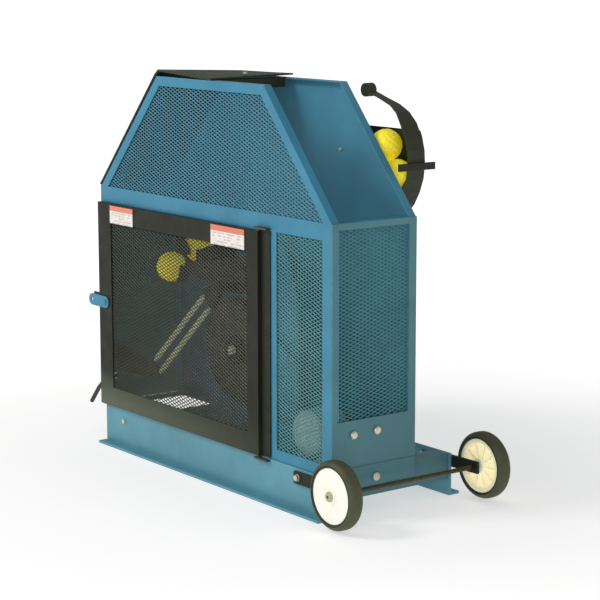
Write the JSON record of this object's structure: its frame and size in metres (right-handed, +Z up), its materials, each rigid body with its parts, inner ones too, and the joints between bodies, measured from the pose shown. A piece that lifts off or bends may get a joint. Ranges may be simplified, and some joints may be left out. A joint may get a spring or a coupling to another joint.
{
  "type": "baseball pitching machine",
  "caption": "Arm-type ball pitching machine: spring-driven throwing arm in a blue mesh cage with hinged black door, side ball hopper and wheeled base.",
  "frame": {"origin": "middle of the underside of the door-side base rail, where it stands on the floor", "axes": "+X towards the wheel end, which is the pitching direction; -Y towards the door side; +Z up"},
  "size_m": [1.1791, 0.4615, 0.937],
  "materials": {
    "blue_paint": "glossy blue enamel",
    "blue_paint_dark": "blue enamel, shaded inner and end pieces",
    "blue_mesh": "blue painted expanded metal",
    "black_steel": "black painted steel",
    "black_mesh": "black painted expanded metal",
    "black_sheet": "dull black painted sheet",
    "zinc_steel": "zinc plated steel",
    "spring_steel": "bright spring steel",
    "cast_grey": "machined cast iron",
    "motor_grey": "light grey enamel",
    "tyre_rubber": "black rubber",
    "hub_plastic": "white moulded plastic",
    "ball_yellow": "yellow dimpled moulded ball",
    "label_white": "printed warning plate",
    "cord_black": "black cord sheath",
    "switch_red": "red rocker"
  },
  "bodies": {
    "frame": {"base_rail_near": "blue_paint", "base_rail_far": "blue_paint", "base_cross_front": "blue_paint_dark", "base_cross_rear": "blue_paint_dark", "floor_pan": "blue_paint_dark", "side_frame_near": "blue_paint", "side_panel_far": "blue_paint", "end_panel_wheel": "blue_paint_dark", "end_panel_rear": "blue_paint_dark", "mesh_upper": "blue_mesh", "mesh_side": "blue_mesh", "mesh_end": "blue_mesh", "top_guard": "black_sheet", "panel_bolt_1": "zinc_steel", "panel_bolt_2": "zinc_steel", "panel_bolt_3": "zinc_steel", "hinge_strip": "black_steel", "hinge_lug_top": "zinc_steel", "hinge_lug_bottom": "zinc_steel", "latch_keeper": "black_steel", "wheel_arm_near": "black_steel", "wheel_arm_far": "black_steel", "wheel_axle": "zinc_steel", "inner_plate": "blue_paint_dark", "shaft_bearing": "cast_grey", "spring_anchor": "black_steel", "drive_chain": "spring_steel", "drive_belt": "tyre_rubber", "motor": "motor_grey", "feed_chute": "black_sheet", "hopper_band": "black_sheet", "hopper_side": "black_sheet", "hopper_bar": "black_steel", "hopper_ball_1": "ball_yellow", "hopper_ball_2": "ball_yellow", "chute_ball": "ball_yellow", "power_cord": "cord_black"},
    "door": {"door_frame": "black_steel", "door_mesh": "black_mesh", "label_left": "label_white", "label_right": "label_white"},
    "latch": {"door_latch": "blue_paint"},
    "wheel_near": {"wheel_near_tyre": "tyre_rubber", "wheel_near_hub": "hub_plastic"},
    "wheel_far": {"wheel_far_tyre": "tyre_rubber", "wheel_far_hub": "hub_plastic"},
    "arm": {"throw_arm": "black_steel", "ball_hand": "black_steel", "hand_ball": "ball_yellow", "crank_shaft": "zinc_steel"},
    "springs": {"spring_yoke_top": "black_steel", "spring_left": "spring_steel", "spring_right": "spring_steel", "spring_yoke_bottom": "black_steel"},
    "drive": {"drive_pulley": "cast_grey", "drive_shaft": "zinc_steel"},
    "motor_rotor": {"motor_pulley": "cast_grey"},
    "arm_sprocket_body": {"arm_sprocket": "zinc_steel"},
    "gate": {"ball_gate": "zinc_steel"},
    "switch": {"power_switch": "switch_red"}
  },
  "joints": [
    {"name": "door_hinge", "type": "hinge", "parent": "frame", "child": "door", "pos_m": [0.207, 0.005, 0.3515], "axis": [0, 0, 1], "range_deg": [0, 110]},
    {"name": "latch_turn", "type": "hinge", "parent": "door", "child": "latch", "pos_m": [-0.4285, -0.002, 0.3575], "axis": [0, 1, 0], "range_deg": [0, 90]},
    {"name": "wheel_near_spin", "type": "hinge", "parent": "frame", "child": "wheel_near", "pos_m": [0.52, -0.021, 0.08], "axis": [0, 1, 0], "continuous": true},
    {"name": "wheel_far_spin", "type": "hinge", "parent": "frame", "child": "wheel_far", "pos_m": [0.52, 0.3955, 0.08], "axis": [0, 1, 0], "continuous": true},
    {"name": "arm_spin", "type": "hinge", "parent": "frame", "child": "arm", "pos_m": [0.033, 0.127, 0.474], "axis": [0, 1, 0], "continuous": true},
    {"name": "spring_pin_turn", "type": "hinge", "parent": "arm", "child": "springs", "pos_m": [-0.00161, 0.039, 0.4437], "axis": [0, 1, 0], "continuous": true},
    {"name": "drive_spin", "type": "hinge", "parent": "frame", "child": "drive", "pos_m": [-0.074, 0.144, 0.277], "axis": [0, 1, 0], "continuous": true},
    {"name": "motor_spin", "type": "hinge", "parent": "frame", "child": "motor_rotor", "pos_m": [0.33, 0.144, 0.165], "axis": [0, 1, 0], "continuous": true},
    {"name": "arm_sprocket_spin", "type": "hinge", "parent": "frame", "child": "arm_sprocket_body", "pos_m": [0.033, 0.19, 0.474], "axis": [0, 1, 0], "continuous": true},
    {"name": "gate_lift", "type": "hinge", "parent": "frame", "child": "gate", "pos_m": [-0.311, 0.1232, 0.56], "axis": [0, -1, 0], "range_deg": [0, 35]},
    {"name": "switch_rock", "type": "hinge", "parent": "frame", "child": "switch", "pos_m": [-0.4618, 0.172, 0.565], "axis": [0, 1, 0], "range_deg": [0, 10]}
  ],
  "couplings": [
    {"joint": "spring_pin_turn", "follows": "arm_spin", "ratio": -1},
    {"joint": "motor_spin", "follows": "drive_spin", "ratio": 3.8333},
    {"joint": "arm_sprocket_spin", "follows": "drive_spin", "ratio": 0.58333}
  ]
}
